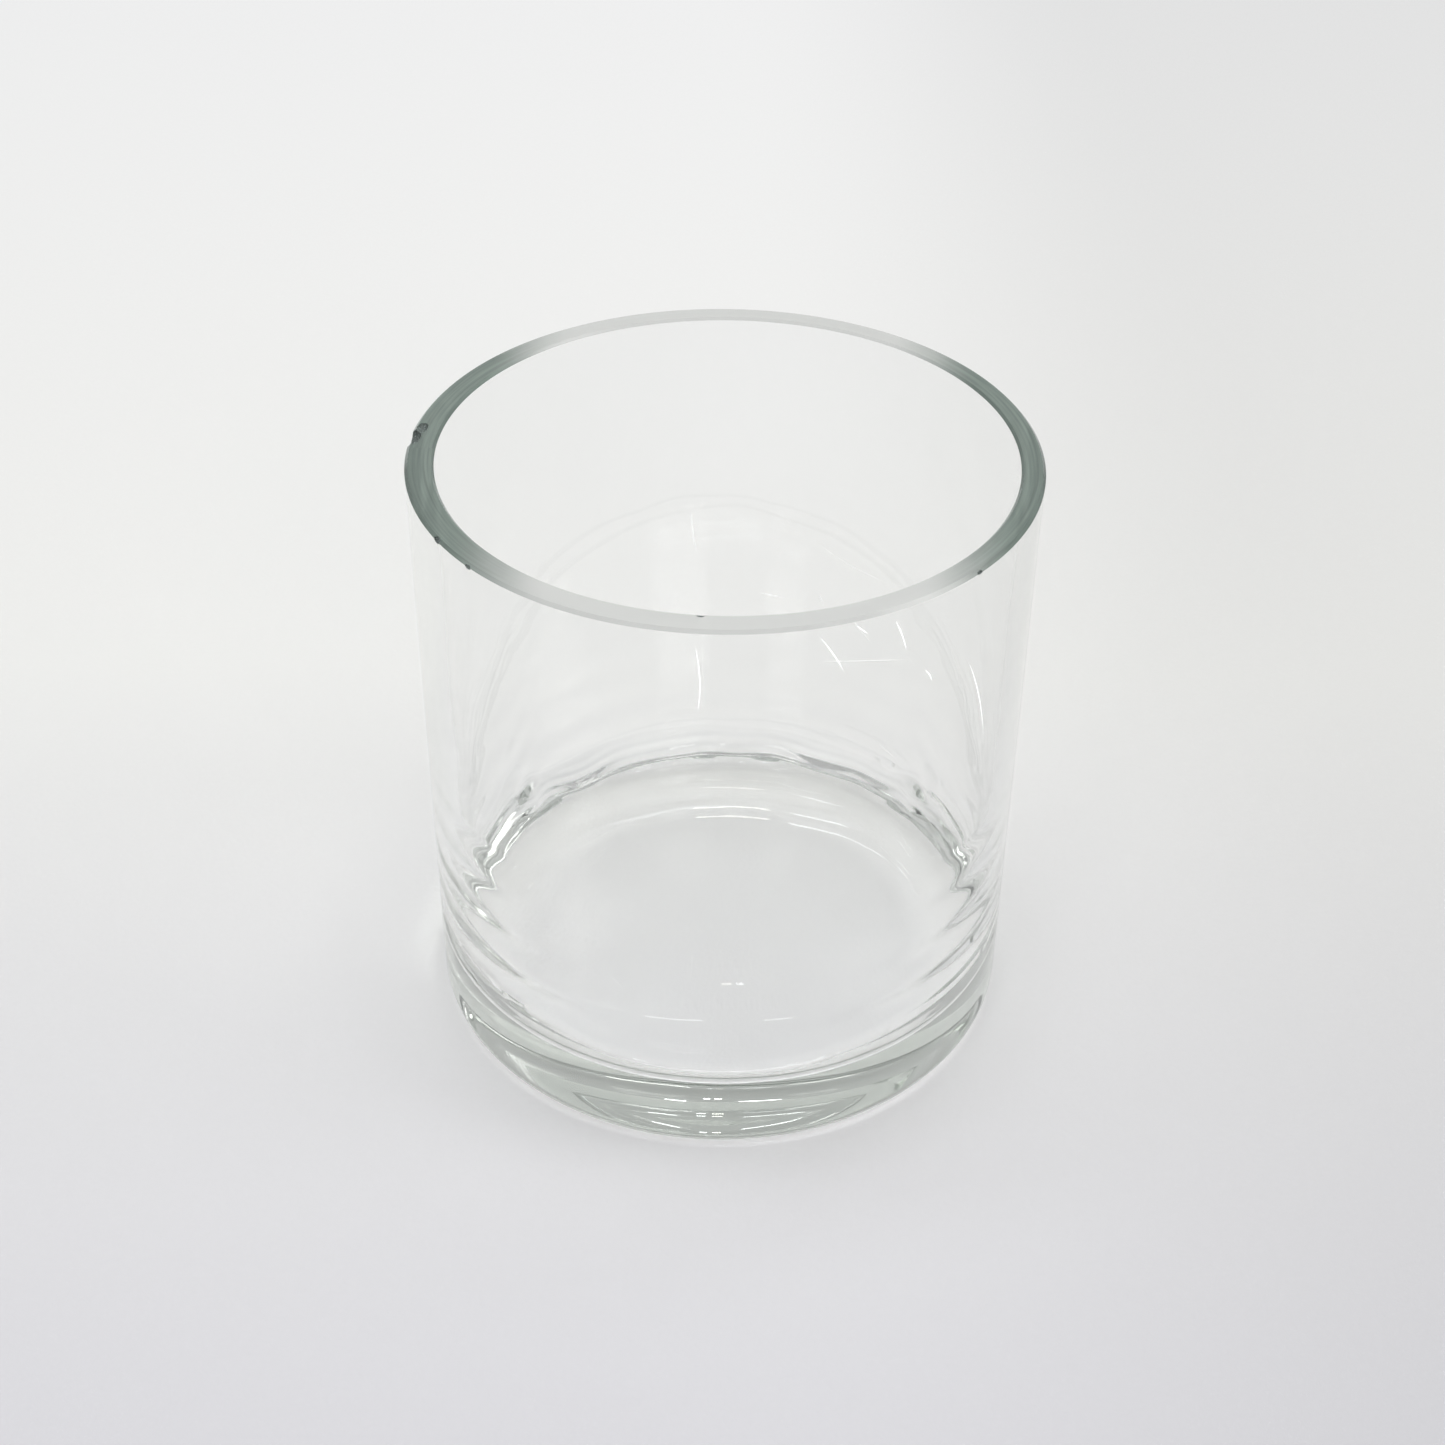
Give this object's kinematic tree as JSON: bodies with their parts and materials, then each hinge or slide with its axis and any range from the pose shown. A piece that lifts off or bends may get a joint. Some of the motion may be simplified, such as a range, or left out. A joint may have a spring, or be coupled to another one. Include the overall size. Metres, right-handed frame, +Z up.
{
  "type": "glass cylinder vase",
  "caption": "Clear glass cylinder vase, about as tall as it is wide, with a thick base, a round inner corner and a flat ground rim.",
  "frame": {"origin": "on the axis of the vessel, at the surface that the standing ring rests on", "axes": "+Z up along the axis, out of the mouth; X and Y are equivalent, and -Y is the side that the main view looks from"},
  "size_m": [0.12, 0.12, 0.125],
  "materials": {
    "clear_glass": "clear soda-lime glass with a faint green tint, fire-polished walls and base, fine-ground flat rim"
  },
  "bodies": {
    "root": {"glass_vessel": "clear_glass"}
  },
  "joints": []
}
